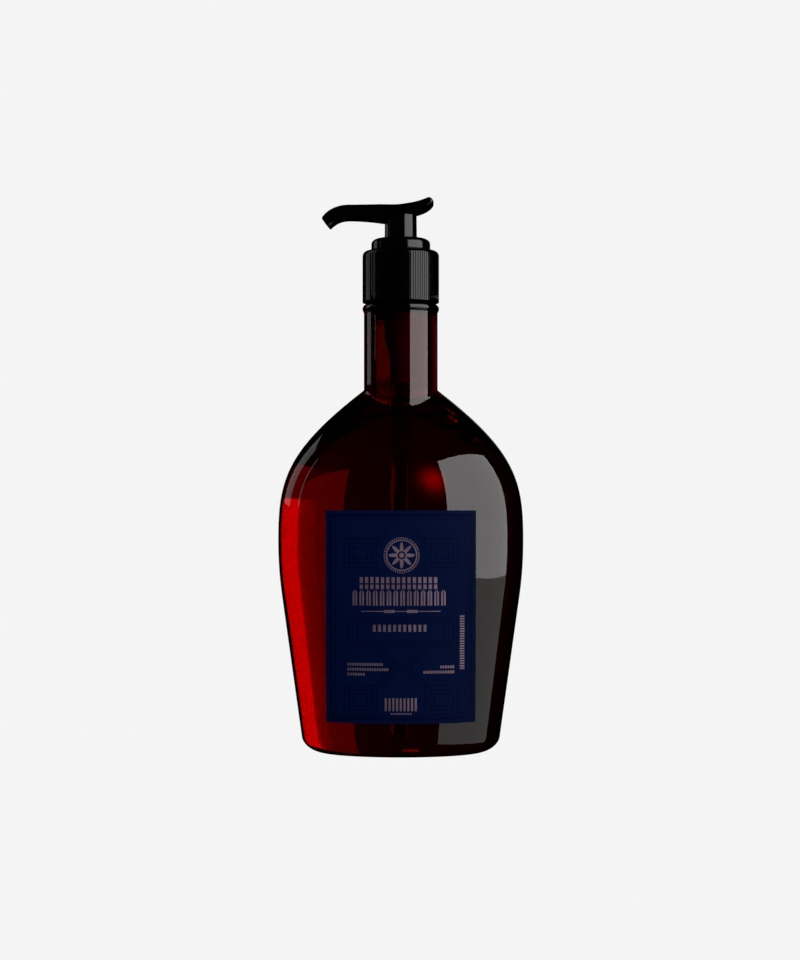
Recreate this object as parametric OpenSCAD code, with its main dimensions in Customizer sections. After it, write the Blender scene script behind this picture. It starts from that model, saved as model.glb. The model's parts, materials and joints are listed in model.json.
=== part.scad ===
// Oval see-through bottle with two labels and a screw-on lotion pump.
// Millimetres, +Z up. The origin is the centre of the base, and the spout points to -X.

/* [Bottle] */
// Width of the body at its widest
body_w = 93; // [90:0.5:96]
// Depth of the oval section as a share of its width
depth_ratio = 0.61; // [0.59:0.01:0.65]
// Height of the widest section
widest_z = 80.5; // [78:0.5:83]
// Height at which the sides of the shoulder meet the neck
shoulder_z = 137.2; // [136:0.1:138]
// Outer diameter of the round neck
neck_d = 28; // [27.6:0.1:28.4]
// Height of the underside of the transfer bead
bead_z = 166.8; // [166.4:0.1:167]
// Outer diameter of the transfer bead
bead_d = 29.1; // [28.8:0.1:29.6]
// Height of the top of the threaded finish
finish_z = 186.3; // [186:0.1:186.3]
// Wall thickness of the blown body
wall = 1; // [0.8:0.1:1.2]
// Rise of the centre of the base above the ring it stands on
base_rise = 3; // [2:0.5:4]

/* [Thread] */
// Diameter of the finish between the thread turns
finish_d = 21.68; // [21.5:0.02:21.8]
// Diameter over the thread
thread_d = 23.88; // [23.6:0.02:24]
// Rise of the thread in one turn
thread_pitch = 3.175; // [3.1:0.025:3.3]
// Bore of the neck inside the finish
neck_bore_d = 18.4; // [18.2:0.1:18.8]

/* [Contents and labels] */
// Height of the liquid's surface
fill_z = 134; // [60:1:136]
// Width of the front label across the flat
label_w = 55.4; // [50:0.2:60]
// Height of the front label
label_h = 78.5; // [70:0.5:85]
// Height of the front label's lower edge
label_z = 13.1; // [10:0.1:20]
// Width of the back label across the flat
back_label_w = 40; // [34:0.5:50]
// Height of the back label, which is centred on the height of the front one
back_label_h = 68; // [60:0.5:78]
// Thickness of a label
label_t = 0.2; // [0.1:0.01:0.25]

/* [Closure and chaplet] */
// Outer diameter over the ribs
closure_d = 29.1; // [29:0.1:30]
// Height of the closure's lower rim
closure_z = 170.4; // [170:0.1:171]
// Height of the closure's top face
closure_top_z = 190.2; // [190.1:0.1:190.3]
// Number of ribs round the closure
rib_count = 96; // [60:4:120]
// Depth of the grooves between the ribs
rib_depth = 0.2; // [0.1:0.05:0.3]
// Outer diameter of the chaplet
chaplet_d = 22.4; // [22:0.1:23]
// Height of the chaplet's top face
chaplet_top_z = 194.9; // [194.7:0.1:195]

/* [Pump] */
// Travel of the head
stroke = 5.5; // [3:0.5:5.5]
// Bore of the pump chamber
chamber_d = 10; // [9.8:0.1:10.2]
// Outer diameter of the stem
stem_d = 5.2; // [5:0.1:5.4]
// Bore of the stem
stem_bore_d = 3.2; // [3:0.1:3.3]
// Free travel of the piston on the stem, which opens the outlet valve
piston_slip = 1; // [0.6:0.1:1.2]
// Diameter of the inlet ball
ball_d = 4; // [3.9:0.1:4.1]
// Rise of the inlet ball off its seat
ball_lift = 1.1; // [0.6:0.1:1.1]
// Number of turns in the return spring
spring_turns = 7; // [5:1:9]
// Diameter of the spring wire
spring_wire_d = 0.7; // [0.5:0.1:0.8]
// Outer diameter of the dip tube
tube_d = 6; // [5.6:0.1:6.2]
// Clearance at the rim of the dip tube above the base inside the bottle
tube_gap = 2.5; // [2:0.5:6]

/* [Actuator] */
// Outer diameter of the skirt at its lower end
skirt_d = 12.3; // [12:0.1:12.4]
// Distance from the pump's axis to the upper lip of the spout
spout_reach = 30.1; // [28:0.1:32]
// Height of the spout's upper surface
spout_top_z = 207.9; // [207.5:0.1:208.5]
// Height of the thumb rest's rear crest
thumb_z = 210.8; // [210:0.1:212]
// Diameter of the outlet duct
duct_d = 3; // [2:0.5:3]

/* [Hidden] */
$fn = 96;

bottle_red = [0.32, 0.01, 0.03, 0.85];
liquid_red = [0.5, 0.02, 0.04, 0.6];
label_navy = [0.01, 0.07, 0.2];
black = [0.06, 0.06, 0.065];
natural = [0.9, 0.91, 0.92];
steel = [0.7, 0.71, 0.73];

slack = 0.03;          // running clearance at a radius
thread_steps = 36;     // straight steps in one turn of thread
overlap = 0.3;         // depth that a joined shape sinks into its neighbour

// Body outline
heel_z = 6;            // height of the top of the rounded heel
taper_z = 59;          // height at which the straight taper of the sides starts
taper_slope = 0.141;   // half-width lost per millimetre of the taper
stand_r = body_w * 0.306;      // half-width at the outer edge of the standing ring
ring_w = 3.5;          // width over which the standing ring turns up into the base
ring_dip = 0.15;       // depth cut off the ring's underside, which leaves it flat
inner_ratio = (body_w / 2 * depth_ratio - wall) / (body_w / 2 - wall);

// Neck and finish
neck_wall = 1.1;
bead_h = 2.9;
thread_turns = 1.5;
thread_top = finish_z - 2.1;   // height of the middle of the last thread
thread_start = thread_top - thread_turns * thread_pitch;

// Pump levels from the top of the finish upwards
gasket_t = 1.15;
gasket_gap = 0.05;
flange_z = finish_z + gasket_gap + gasket_t;
flange_t = 1.2;
flange_r = 11.6;
housing_top = flange_z + 5.3;
well_r = skirt_d / 2 + 0.2;    // bore of the chaplet's well, round the skirt
well_t = 1.1;
well_floor_z = flange_z - 0.3;
guide_bottom = well_floor_z - 3.2;
collar_t = 1.5;
collar_r = 3.9;
collar_z = guide_bottom - 0.1 - collar_t;
piston_h = 5.5;
piston_z = collar_z - piston_slip - 0.1 - piston_h;
stem_end_z = piston_z + 2.5 + piston_slip;   // clear of the piston's inner step after its slip

// Outlet valve and spring
cone_top = piston_z + 0.8;     // height at which the rod's cone starts
cone_r = 3.2;
cone_h = 2;
rod_neck_r = 1.2;
rod_flange_z = cone_top - cone_h - 0.8;
spring_seat_z = rod_flange_z - 17.3;
spring_r = 3;

// Inlet valve and tube socket
pocket_r = ball_d / 2 + 0.45;
seat_r = 1.5;
seat_angle = 34;               // half-angle of the conical seat
seat_h = (pocket_r - seat_r) / tan(seat_angle);
seat_z = spring_seat_z - 5.7;
ball_z = seat_z + (ball_d / 2 + slack - seat_r * cos(seat_angle)) / sin(seat_angle);
socket_top = seat_z - 3.3;
socket_z = socket_top - 7.5;
tail_r = tube_d / 2 + 1;
barrel_r = chamber_d / 2 + 1.2;
tube_end_z = base_rise + wall + 0.4 + tube_gap;

// Head
skirt_end_z = chaplet_top_z - 1.9;
skirt_t = 1.15;
boss_r = stem_d / 2 + 1.3;
stem_top_z = spout_top_z - 5.9;
duct_z = spout_top_z - 3.3;

// Cubic curve through four control points, as n steps
function curve(p, n) = [for (i = [0 : n]) let (t = i / n, u = 1 - t)
    u * u * u * p[0] + 3 * u * u * t * p[1] + 3 * u * t * t * p[2] + t * t * t * p[3]];

// The list without its first point, for joining curves end to end
function tail(points) = [for (i = [1 : len(points) - 1]) points[i]];

// Half-width of the straight taper at a height
function taper_r(z) = body_w / 2 - 1.5 - taper_slope * (taper_z - z);

// Half of the body's outline from the neck down to the standing ring, as [half-width, height]
function body_side() = concat(
    curve([[neck_d / 2, shoulder_z], [body_w / 2 - 2.4, shoulder_z - 23.2],
        [body_w / 2, widest_z + 22], [body_w / 2, widest_z]], 12),
    tail(curve([[body_w / 2, widest_z], [body_w / 2, widest_z - 8],
        [taper_r(taper_z + 7), taper_z + 7], [taper_r(taper_z), taper_z]], 4)),
    tail(curve([[taper_r(heel_z), heel_z], [taper_r(heel_z - 3.3), heel_z - 3.3],
        [stand_r + 4.6, -ring_dip], [stand_r, -ring_dip]], 6)));

// An outline moved inwards by t, square to its own direction
function inset(p, t) = [for (i = [0 : len(p) - 1])
    let (d = p[min(i + 1, len(p) - 1)] - p[max(i - 1, 0)])
    p[i] + t * [d[1], -d[0]] / norm(d)];

// Oval solid inside the body outline moved inwards by t, closed by a raised base.
// It is turned in four quarters, so that each stretched surface spans a quarter turn.
module oval(t, ratio, rise) {
    side = inset(body_side(), t);
    edge = side[len(side) - 1];
    scale([1, ratio, 1])
        for (a = [0 : 90 : 270]) rotate([0, 0, a])
            rotate_extrude(angle = 90) polygon(concat([[0, side[0][1]]], side,
                curve([edge, edge - [ring_w, 0], [edge[0] - ring_w - 4, rise], [0, rise]], 6)));
}

// Ridge that winds up a cylinder: wall_r is the wall it stands on, crest_r its outer or inner
// edge, z its height at angle 0, and it fades out at both ends
module ridge(wall_r, crest_r, root_w, crest_w, z, from, to) {
    n = round((to - from) / 360 * thread_steps);
    side = sign(crest_r - wall_r);
    rings = [for (i = [0 : n]) let (a = from + (to - from) * i / n, fade = min(1, i / 3, (n - i) / 3),
            h = z + thread_pitch * a / 360, top = wall_r + (crest_r - wall_r) * (0.02 + 0.98 * fade))
        for (q = [[wall_r - side * overlap, -root_w / 2], [top, -crest_w / 2],
                [top, crest_w / 2], [wall_r - side * overlap, root_w / 2]])
            [q[0] * cos(a), q[0] * sin(a), h + q[1]]];
    sides = [for (i = [0 : n - 1], k = [0 : 3]) let (a = 4 * i + k, b = 4 * i + (k + 1) % 4)
        each [[a, a + 4, b], [b, a + 4, b + 4]]];
    ends = [[0, 1, 2], [0, 2, 3], [4 * n, 4 * n + 2, 4 * n + 1], [4 * n, 4 * n + 3, 4 * n + 2]];
    faces = concat(sides, ends);
    polyhedron(rings, side < 0 ? faces : [for (f = faces) [f[2], f[1], f[0]]]);
}

module bottle() {
    color(bottle_red) {
        difference() {
            union() {
                oval(0, depth_ratio, base_rise);
                translate([0, 0, shoulder_z - 12])
                    cylinder(r = neck_d / 2, h = bead_z - shoulder_z + 12.2);
                rotate_extrude() polygon([[0, bead_z], [neck_d / 2 - 0.1, bead_z],
                    [bead_d / 2 - 0.2, bead_z + 0.7], [bead_d / 2, bead_z + 1.3],
                    [bead_d / 2, bead_z + 2], [bead_d / 2 - 0.4, bead_z + 2.6],
                    [bead_d / 2 - 1.2, bead_z + bead_h], [finish_d / 2, bead_z + bead_h],
                    [finish_d / 2, finish_z - 0.4], [finish_d / 2 - 0.4, finish_z], [0, finish_z]]);
            }
            translate([-body_w / 2, -body_w / 2, -2]) cube([body_w, body_w, 2]);
            oval(wall, inner_ratio, base_rise + wall + 0.4);
            rotate_extrude() polygon(concat([[0, shoulder_z - 9], [neck_d / 2 - neck_wall, shoulder_z - 9]],
                curve([[neck_d / 2 - neck_wall, bead_z - 3.4], [neck_d / 2 - neck_wall, bead_z - 1.4],
                    [neck_bore_d / 2, bead_z - 2], [neck_bore_d / 2, bead_z]], 5),
                [[neck_bore_d / 2, finish_z + 1], [0, finish_z + 1]]));
        }
        ridge(finish_d / 2, thread_d / 2, 2, 0.9, thread_start, 0, 360 * thread_turns);
    }
}

module aftershave_fill() {
    gap = 0.1;
    color(liquid_red) difference() {
        union() {
            intersection() {
                oval(wall + gap, inner_ratio, base_rise + wall + 0.4 + gap);
                translate([-body_w / 2, -body_w / 2, 0]) cube([body_w, body_w, fill_z]);
            }
            translate([0, 0, min(fill_z, shoulder_z - 9) - 3])
                cylinder(r = neck_d / 2 - neck_wall - gap, h = max(3, fill_z - shoulder_z + 12));
        }
        translate([0, 0, tube_end_z - 1]) cylinder(r = tube_d / 2 + gap, h = shoulder_z);
    }
}

// Skin on the oval body inside an upright rectangle, on the side that faces -Y
module label_skin(w, h, z) {
    intersection() {
        difference() {
            oval(-label_t, depth_ratio, base_rise - label_t);
            oval(-0.01, depth_ratio, base_rise - 0.01);
        }
        translate([-w / 2, -body_w / 2, z]) cube([w, body_w / 2, h]);
    }
}

module front_label() {
    color(label_navy) label_skin(label_w, label_h, label_z);
}

module back_label() {
    color(label_navy) rotate([0, 0, 180])
        label_skin(back_label_w, back_label_h, label_z + (label_h - back_label_h) / 2);
}

module closure() {
    r = closure_d / 2;
    inner_r = thread_d / 2 + 0.31;
    color(black) {
        difference() {
            intersection() {
                translate([0, 0, closure_z]) linear_extrude(closure_top_z - closure_z)
                    polygon([for (i = [0 : 2 * rib_count - 1]) let (a = 180 * i / rib_count)
                        (r - (i % 2) * rib_depth) * [cos(a), sin(a)]]);
                rotate_extrude() polygon(concat([[0, closure_z], [r - 0.4, closure_z], [r + 0.1, closure_z + 0.5]],
                    curve([[r + 0.1, closure_top_z - 2.2], [r, closure_top_z - 0.9],
                        [r - 0.9, closure_top_z], [r - 2.6, closure_top_z]], 5),
                    [[0, closure_top_z]]));
            }
            translate([0, 0, closure_z - 1]) cylinder(r = inner_r, h = flange_z + flange_t + 0.1 - closure_z + 1);
            translate([0, 0, flange_z]) cylinder(r = 9.1, h = 10);
        }
        ridge(inner_r, thread_d / 2 - 0.69, 1.6, 0.8, thread_start - thread_pitch / 2, 10, 440);
    }
}

module chaplet() {
    r = chaplet_d / 2;
    top = chaplet_top_z;
    bottom = closure_top_z + 0.2;
    sleeve_r = well_r + well_t;
    color(black) rotate_extrude() polygon(concat(
        [[r, bottom]],
        curve([[r, top - 2.1], [r, top - 0.9], [r - 1.2, top - 0.1], [r - 2.9, top]], 5),
        [[well_r + 0.3, top], [well_r, top - 0.3], [well_r, well_floor_z],
            [collar_r, well_floor_z], [collar_r, well_floor_z + 2], [stem_d / 2 + 0.1, well_floor_z + 2],
            [stem_d / 2 + 0.1, guide_bottom], [collar_r, guide_bottom],
            [collar_r, well_floor_z - 1.2], [sleeve_r, well_floor_z - 1.2],
            [sleeve_r, housing_top + 0.1], [8.8, housing_top + 0.1], [8.8, bottom]]));
}

module housing() {
    cup_r = well_r + well_t + 0.1;
    cup_z = well_floor_z - 1.4;
    throat_r = 3.9;
    color(natural) {
        rotate_extrude() polygon([
            // outside, from the flange down to the tube socket
            [8.8, housing_top], [8.8, flange_z + flange_t], [flange_r, flange_z + flange_t],
            [flange_r, flange_z], [8.2, flange_z], [8.2, cup_z - 1.2], [barrel_r, cup_z - 1.8],
            [barrel_r, spring_seat_z + 1], [tail_r, seat_z - 1], [tail_r, socket_z],
            // inside, from the tube socket up through both valves' chambers
            [tube_d / 2, socket_z], [tube_d / 2, socket_top], [seat_r, socket_top], [seat_r, seat_z],
            [pocket_r, seat_z + seat_h], [pocket_r, spring_seat_z], [throat_r, spring_seat_z],
            [throat_r, spring_seat_z + 1.5], [chamber_d / 2, spring_seat_z + 2.8],
            [chamber_d / 2, cup_z], [cup_r, cup_z], [cup_r, housing_top]]);
        // Three lugs that the ball is snapped past
        lug_z = ball_z + ball_d / 2 + ball_lift + 0.1;
        for (a = [0, 120, 240])
            rotate([0, 0, a]) translate([1.7, -0.6, lug_z]) cube([pocket_r - 1.4, 1.2, 0.8]);
    }
}

module gasket() {
    color(natural) translate([0, 0, finish_z + gasket_gap]) difference() {
        cylinder(r = flange_r - 0.2, h = gasket_t);
        translate([0, 0, -1]) cylinder(r = 8.3, h = gasket_t + 2);
    }
}

module dip_tube() {
    bore_r = tube_d / 2 - 0.8;
    color(natural) difference() {
        translate([0, 0, tube_end_z]) cylinder(r = tube_d / 2, h = socket_top - tube_end_z);
        translate([0, 0, tube_end_z - 1]) cylinder(r = bore_r, h = socket_top - tube_end_z + 2);
        // slanted cut that keeps the end open against the base
        translate([0, 0, tube_end_z]) rotate([0, 30, 0])
            translate([-tube_d, -tube_d, -2 * tube_d]) cube(2 * tube_d);
    }
}

module inlet_ball() {
    color(steel) translate([0, 0, ball_z]) sphere(r = ball_d / 2);
}

// Coil with flat-wound ends: the pitch is small over the first and last turn
module spring() {
    low = spring_seat_z + spring_wire_d / 2;
    high = rod_flange_z - spring_wire_d / 2;
    sides = 8;
    steps = 20;
    n = spring_turns * steps;
    closed = spring_wire_d / (high - low);
    function share(t) = t < 1 ? t * closed
        : t > spring_turns - 1 ? 1 - (spring_turns - t) * closed
        : closed + (t - 1) / (spring_turns - 2) * (1 - 2 * closed);
    points = [for (i = [0 : n], k = [0 : sides - 1])
        let (a = 360 * i / steps, b = 360 * k / sides,
            q = spring_r + spring_wire_d / 2 * cos(b),
            z = low + (high - low) * share(i / steps) + spring_wire_d / 2 * sin(b))
        [q * cos(a), q * sin(a), z]];
    walls = [for (i = [0 : n - 1], k = [0 : sides - 1])
        let (a = i * sides + k, b = i * sides + (k + 1) % sides)
        each [[a, a + sides, b], [b, a + sides, b + sides]]];
    color(steel) polyhedron(points, concat(walls,
        [[for (k = [0 : sides - 1]) k]], [[for (k = [sides - 1 : -1 : 0]) n * sides + k]]));
}

module piston_rod() {
    plug_r = stem_bore_d / 2;
    color(natural) {
        rotate_extrude() polygon([[0, stem_end_z + 0.2], [rod_neck_r, stem_end_z + 0.2], [rod_neck_r, cone_top],
            [cone_r, cone_top - cone_h], [cone_r + 0.2, cone_top - cone_h], [cone_r + 0.2, rod_flange_z],
            [2.2, rod_flange_z], [2.2, rod_flange_z - 2.4], [1.8, rod_flange_z - 2.8], [0, rod_flange_z - 2.8]]);
        // Four flutes beside a cross-shaped plug let the liquid pass into the stem
        translate([0, 0, stem_end_z]) intersection() {
            cylinder(r = plug_r, h = 5);
            union() for (a = [0, 90]) rotate([0, 0, a])
                translate([-plug_r, -0.5, 0]) cube([2 * plug_r, 1, 5]);
        }
    }
}

module piston() {
    outer = chamber_d / 2 - slack;
    bore = stem_d / 2 + slack;
    top = piston_z + piston_h;
    lip = rod_neck_r + (cone_top - piston_z) + 0.1;
    color("white") rotate_extrude() polygon([[bore, top], [bore, piston_z + 2.4], [bore - 0.7, piston_z + 1.7],
        [lip, piston_z + 0.4], [lip, piston_z], [outer - 0.6, piston_z], [outer, piston_z + 0.3],
        [outer, piston_z + 1], [outer - 0.6, piston_z + 1.6], [outer - 0.6, top - 1.6], [outer, top - 1],
        [outer, top - 0.3], [outer - 0.6, top - 0.1], [outer - 0.8, top]]);
}

module stem() {
    color(natural) rotate_extrude() polygon([[stem_bore_d / 2, stem_end_z], [stem_d / 2, stem_end_z],
        [stem_d / 2, collar_z], [collar_r - 0.2, collar_z], [collar_r - 0.2, collar_z + collar_t],
        [stem_d / 2, collar_z + collar_t], [stem_d / 2, stem_top_z], [stem_bore_d / 2, stem_top_z]]);
}

// Upper and lower edge of the head in side view, spout first
function head_top() = concat(
    curve([[-spout_reach, spout_top_z - 4.7], [-spout_reach + 1.5, spout_top_z - 2.5],
        [-spout_reach + 4.9, spout_top_z - 0.15], [-spout_reach + 10.1, spout_top_z]], 6),
    tail(curve([[-spout_reach + 10.1, spout_top_z], [-6, spout_top_z + 0.1], [2, spout_top_z + 0.3],
        [10.9, thumb_z]], 10)));
function head_bottom() = concat(
    curve([[-spout_reach + 3.5, spout_top_z - 9.4], [-spout_reach + 5.5, spout_top_z - 7.6],
        [-spout_reach + 7.1, spout_top_z - 6.3], [-spout_reach + 11.1, spout_top_z - 6.3]], 6),
    tail(curve([[-spout_reach + 11.1, spout_top_z - 6.3], [-6, spout_top_z - 7.8],
        [6, spout_top_z - 7], [12.5, thumb_z - 2.8]], 10)));
// Half-width of the head at a share of its length: narrow spout, wide thumb rest
function head_half_width(s) = 3.1 + 3.5 * pow(min(1, s / 0.75), 2.5) - 1.2 * pow(max(0, (s - 0.75) / 0.25), 3);

// Loft between the two edges, with a rounded rectangle at each station
module head_loft() {
    upper = head_top();
    lower = head_bottom();
    n = len(upper);
    sides = 24;
    points = [for (i = [0 : n - 1], k = [0 : sides - 1])
        let (mid = (upper[i] + lower[i]) / 2, half = (upper[i] - lower[i]) / 2, a = 360 * k / sides,
            c = sign(cos(a)) * pow(abs(cos(a)), 0.75), s = sign(sin(a)) * pow(abs(sin(a)), 0.75),
            p = mid + half * s)
        [p[0], c * head_half_width(i / (n - 1)), p[1]]];
    walls = [for (i = [0 : n - 2], k = [0 : sides - 1])
        let (a = i * sides + k, b = i * sides + (k + 1) % sides)
        each [[a, a + sides, b], [b, a + sides, b + sides]]];
    polyhedron(points, concat(walls,
        [[for (k = [0 : sides - 1]) k]], [[for (k = [sides - 1 : -1 : 0]) (n - 1) * sides + k]]));
}

module actuator() {
    r = skirt_d / 2;
    color(black) difference() {
        union() {
            difference() {
                union() {
                    head_loft();
                    rotate_extrude() polygon([[0, skirt_end_z], [r - 0.3, skirt_end_z], [r, skirt_end_z + 0.3],
                        [r - 0.13, duct_z], [0, duct_z]]);
                }
                translate([0, 0, skirt_end_z - 1]) cylinder(r = r - skirt_t, h = stem_top_z - skirt_end_z);
            }
            translate([0, 0, skirt_end_z + 2.5]) cylinder(r = boss_r, h = duct_z - skirt_end_z - 2.5);
        }
        translate([0, 0, skirt_end_z])
            cylinder(r = stem_d / 2 + slack, h = stem_top_z - skirt_end_z + 0.05);
        cylinder(r = duct_d / 2, h = duct_z);
        translate([-spout_reach + 9.5, 0, duct_z]) rotate([0, 90, 0])
            cylinder(r = duct_d / 2, h = spout_reach - 9.5 + duct_d / 2);
        translate([-spout_reach + 9.5, 0, duct_z]) sphere(r = duct_d / 2);
        translate([-spout_reach + 9.5, 0, duct_z]) rotate([0, -114, 0]) cylinder(r = duct_d / 2, h = 14);
    }
}

bottle();
aftershave_fill();
front_label();
back_label();
closure();
chaplet();
housing();
gasket();
dip_tube();
inlet_ball();
spring();
piston_rod();
piston();
stem();
actuator();
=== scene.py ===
import bpy, json, math
import numpy as np
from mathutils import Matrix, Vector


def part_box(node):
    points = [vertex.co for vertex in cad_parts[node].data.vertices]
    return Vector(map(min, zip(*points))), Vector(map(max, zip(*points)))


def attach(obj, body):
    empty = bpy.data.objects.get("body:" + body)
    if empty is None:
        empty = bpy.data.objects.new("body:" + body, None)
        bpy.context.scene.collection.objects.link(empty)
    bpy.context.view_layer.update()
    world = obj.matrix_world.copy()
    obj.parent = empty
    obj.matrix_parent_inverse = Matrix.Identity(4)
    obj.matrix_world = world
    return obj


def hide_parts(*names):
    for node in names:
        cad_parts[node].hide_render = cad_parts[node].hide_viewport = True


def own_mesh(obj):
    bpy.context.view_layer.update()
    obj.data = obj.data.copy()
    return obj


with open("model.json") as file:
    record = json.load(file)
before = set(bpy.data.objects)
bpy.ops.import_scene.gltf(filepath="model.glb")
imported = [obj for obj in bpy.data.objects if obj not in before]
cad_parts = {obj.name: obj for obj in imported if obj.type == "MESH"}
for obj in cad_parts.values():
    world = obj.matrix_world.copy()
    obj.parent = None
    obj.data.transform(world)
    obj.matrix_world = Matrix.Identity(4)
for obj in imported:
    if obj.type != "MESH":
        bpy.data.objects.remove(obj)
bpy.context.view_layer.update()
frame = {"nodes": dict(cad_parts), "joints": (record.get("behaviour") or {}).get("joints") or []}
mm = 0.001   # sizes are in millimetres until buildMesh puts them into a mesh
print("frame loaded:", len(frame["nodes"]), "nodes")


def boxOf(node):
    # lowest and highest corner of a CAD node at rest, in millimetres
    return [np.array(corner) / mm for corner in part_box(node)]


def bezier(points, steps):
    # P(t) = (1-t)^3 A + 3(1-t)^2 t B + 3(1-t) t^2 C + t^3 D
    t = np.linspace(0, 1, steps + 1)[:, None]
    a, b, c, d = (np.array(p, float) for p in points)
    return (1 - t) ** 3 * a + 3 * (1 - t) ** 2 * t * b + 3 * (1 - t) * t ** 2 * c + t ** 3 * d


def line(a, b, steps=1):
    # P(t) = (1-t) A + t B
    t = np.linspace(0, 1, steps + 1)[:, None]
    return (1 - t) * np.array(a, float) + t * np.array(b, float)


def join(*parts):
    # curves laid end to end, without the doubled points
    kept = [np.asarray(parts[0], float)] + [np.asarray(p, float)[1:] for p in parts[1:]]
    return np.concatenate(kept)


def turned(profile, columns):
    # P(i, u) = (r_i cos u, r_i sin u, z_i) for a profile of (r, z)
    u = np.linspace(0, 2 * np.pi, columns, endpoint=False)
    r, z = profile[:, 0, None], profile[:, 1, None]
    return np.stack([r * np.cos(u), r * np.sin(u), z + 0 * u], axis=-1)


def capped(grid):
    # a swept grid with each end drawn in to the middle of its last ring
    ends = [np.repeat(grid[k].mean(axis=0)[None, None], grid.shape[1], axis=1) for k in (0, -1)]
    return np.concatenate([ends[0], grid, ends[1]])


def buildMesh(name, points, faces, sharp=None):
    # faces is a list of equal-width index arrays; sharp marks edges steeper than that angle
    mesh = bpy.data.meshes.new(name)
    sizes = np.concatenate([np.full(len(f), f.shape[1]) for f in faces])
    loops = np.concatenate([f.ravel() for f in faces])
    mesh.vertices.add(len(points))
    mesh.vertices.foreach_set("co", (points * mm).astype(np.float32).ravel())
    mesh.loops.add(len(loops))
    mesh.loops.foreach_set("vertex_index", loops.astype(np.int32))
    mesh.polygons.add(len(sizes))
    mesh.polygons.foreach_set("loop_start", (np.cumsum(sizes) - sizes).astype(np.int32))
    mesh.update(calc_edges=True)
    mesh.validate()
    mesh.shade_smooth()
    if sharp:
        mesh.set_sharp_from_angle(angle=math.radians(sharp))
    obj = bpy.data.objects.new(name, mesh)
    bpy.context.scene.collection.objects.link(obj)
    return obj


def skin(name, grid, loopRows=False, sharp=None):
    # grid[i, j] wraps in j; a first or last row that has shrunk to one point becomes a pole, and loopRows
    # joins the last row to the first as on a ring. The faces between rows k and k + 1 are band k.
    rows, cols = grid.shape[:2]
    spread = np.ptp(grid, axis=1).max(axis=-1)
    startPole, endPole = (not loopRows and spread[k] < 1e-6 for k in (0, -1))
    body = grid[int(startPole):rows - int(endPole)]
    n = len(body)
    points = body.reshape(-1, 3)
    i = np.arange(n if loopRows else n - 1)[:, None]
    j = np.arange(cols)[None, :]
    i2, j2 = (i + 1) % n, (j + 1) % cols
    quads = np.stack([i * cols + j, i * cols + j2, i2 * cols + j2, i2 * cols + j], axis=-1)
    faces = [quads.reshape(-1, 4)]
    ring = np.arange(cols)
    after = (ring + 1) % cols
    if startPole:
        faces.insert(0, np.stack([0 * ring + len(points), after, ring], axis=-1))
        points = np.vstack([points, grid[0, :1]])
    if endPole:
        last = (n - 1) * cols
        faces.append(np.stack([last + ring, last + after, 0 * ring + len(points)], axis=-1))
        points = np.vstack([points, grid[-1, :1]])
    return buildMesh(name, points, faces, sharp)


def place(obj, body, slot, materials, *nodes):
    for material in materials if isinstance(materials, list) else [materials]:
        obj.data.materials.append(material)
    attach(obj, body)
    if nodes:
        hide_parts(*nodes)
    return obj


class Wire:
    # a socket that takes part in sums, so that 1 - mask adds its Math node
    def __init__(self, tree, socket):
        self.tree, self.socket = tree, socket

    def add(self, kind, settings, inputs, output=0):
        node = self.tree.nodes.new("ShaderNode" + kind)
        for key, value in settings.items():
            setattr(node, key, value)
        for key, value in inputs.items():
            if isinstance(value, Wire):
                self.tree.links.new(value.socket, node.inputs[key])
            else:
                node.inputs[key].default_value = value
        return Wire(self.tree, node.outputs[output])

    def calc(self, operation, *values):
        return self.add("Math", {"operation": operation}, dict(enumerate(values)))

    def __add__(self, other):
        return self.calc("ADD", self, other)

    def __radd__(self, other):
        return self.calc("ADD", other, self)

    def __sub__(self, other):
        return self.calc("SUBTRACT", self, other)

    def __rsub__(self, other):
        return self.calc("SUBTRACT", other, self)

    def __mul__(self, other):
        return self.calc("MULTIPLY", self, other)

    def __rmul__(self, other):
        return self.calc("MULTIPLY", other, self)

    def __lt__(self, other):
        return self.calc("LESS_THAN", self, other)

    def __gt__(self, other):
        return self.calc("GREATER_THAN", self, other)

    def __mod__(self, other):
        return self.calc("FLOORED_MODULO", self, other)

    def __abs__(self):
        return self.calc("ABSOLUTE", self)

    def __or__(self, other):
        # either of two masks
        return self.calc("MAXIMUM", self, other)

    def __and__(self, other):
        # both of two masks
        return self.calc("MULTIPLY", self, other)

    def noise(self, scale, detail=3, roughness=0.5, stretch=(1, 1, 1)):
        # grain of about 1/scale metres, stretched along an axis where its factor is small
        at = self.add("VectorMath", {"operation": "MULTIPLY"}, {0: self, 1: stretch})
        return self.add("TexNoise", {},
                        {"Vector": at, "Scale": scale, "Detail": detail, "Roughness": roughness})

    def part(self, axis):
        # one coordinate of a position
        return self.add("SeparateXYZ", {}, {0: self}, axis)

    def blend(self, low, high):
        # colour between low and high by this value
        return self.add("Mix", {"data_type": "RGBA"}, {0: self, 6: low, 7: high}, 2)

    def bump(self, strength, distance, height):
        return self.add("Bump", {}, {"Strength": strength, "Distance": distance, "Height": height})


def shader(name, **fixed):
    # a material with one Principled shader; fixed values go on its own sockets
    material = bpy.data.materials.new(name)
    material.use_nodes = True
    tree = material.node_tree
    surface = tree.nodes["Principled BSDF"]
    for key, value in fixed.items():
        surface.inputs[key.replace("_", " ")].default_value = value
    at = Wire(tree, None).add("TexCoord", {}, {}, "Object")
    return material, surface, at


def feed(surface, **wires):
    for key, wire in wires.items():
        wire.tree.links.new(wire.socket, surface.inputs[key.replace("_", " ")])


def colour(r, g, b):
    return (r, g, b, 1)


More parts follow.
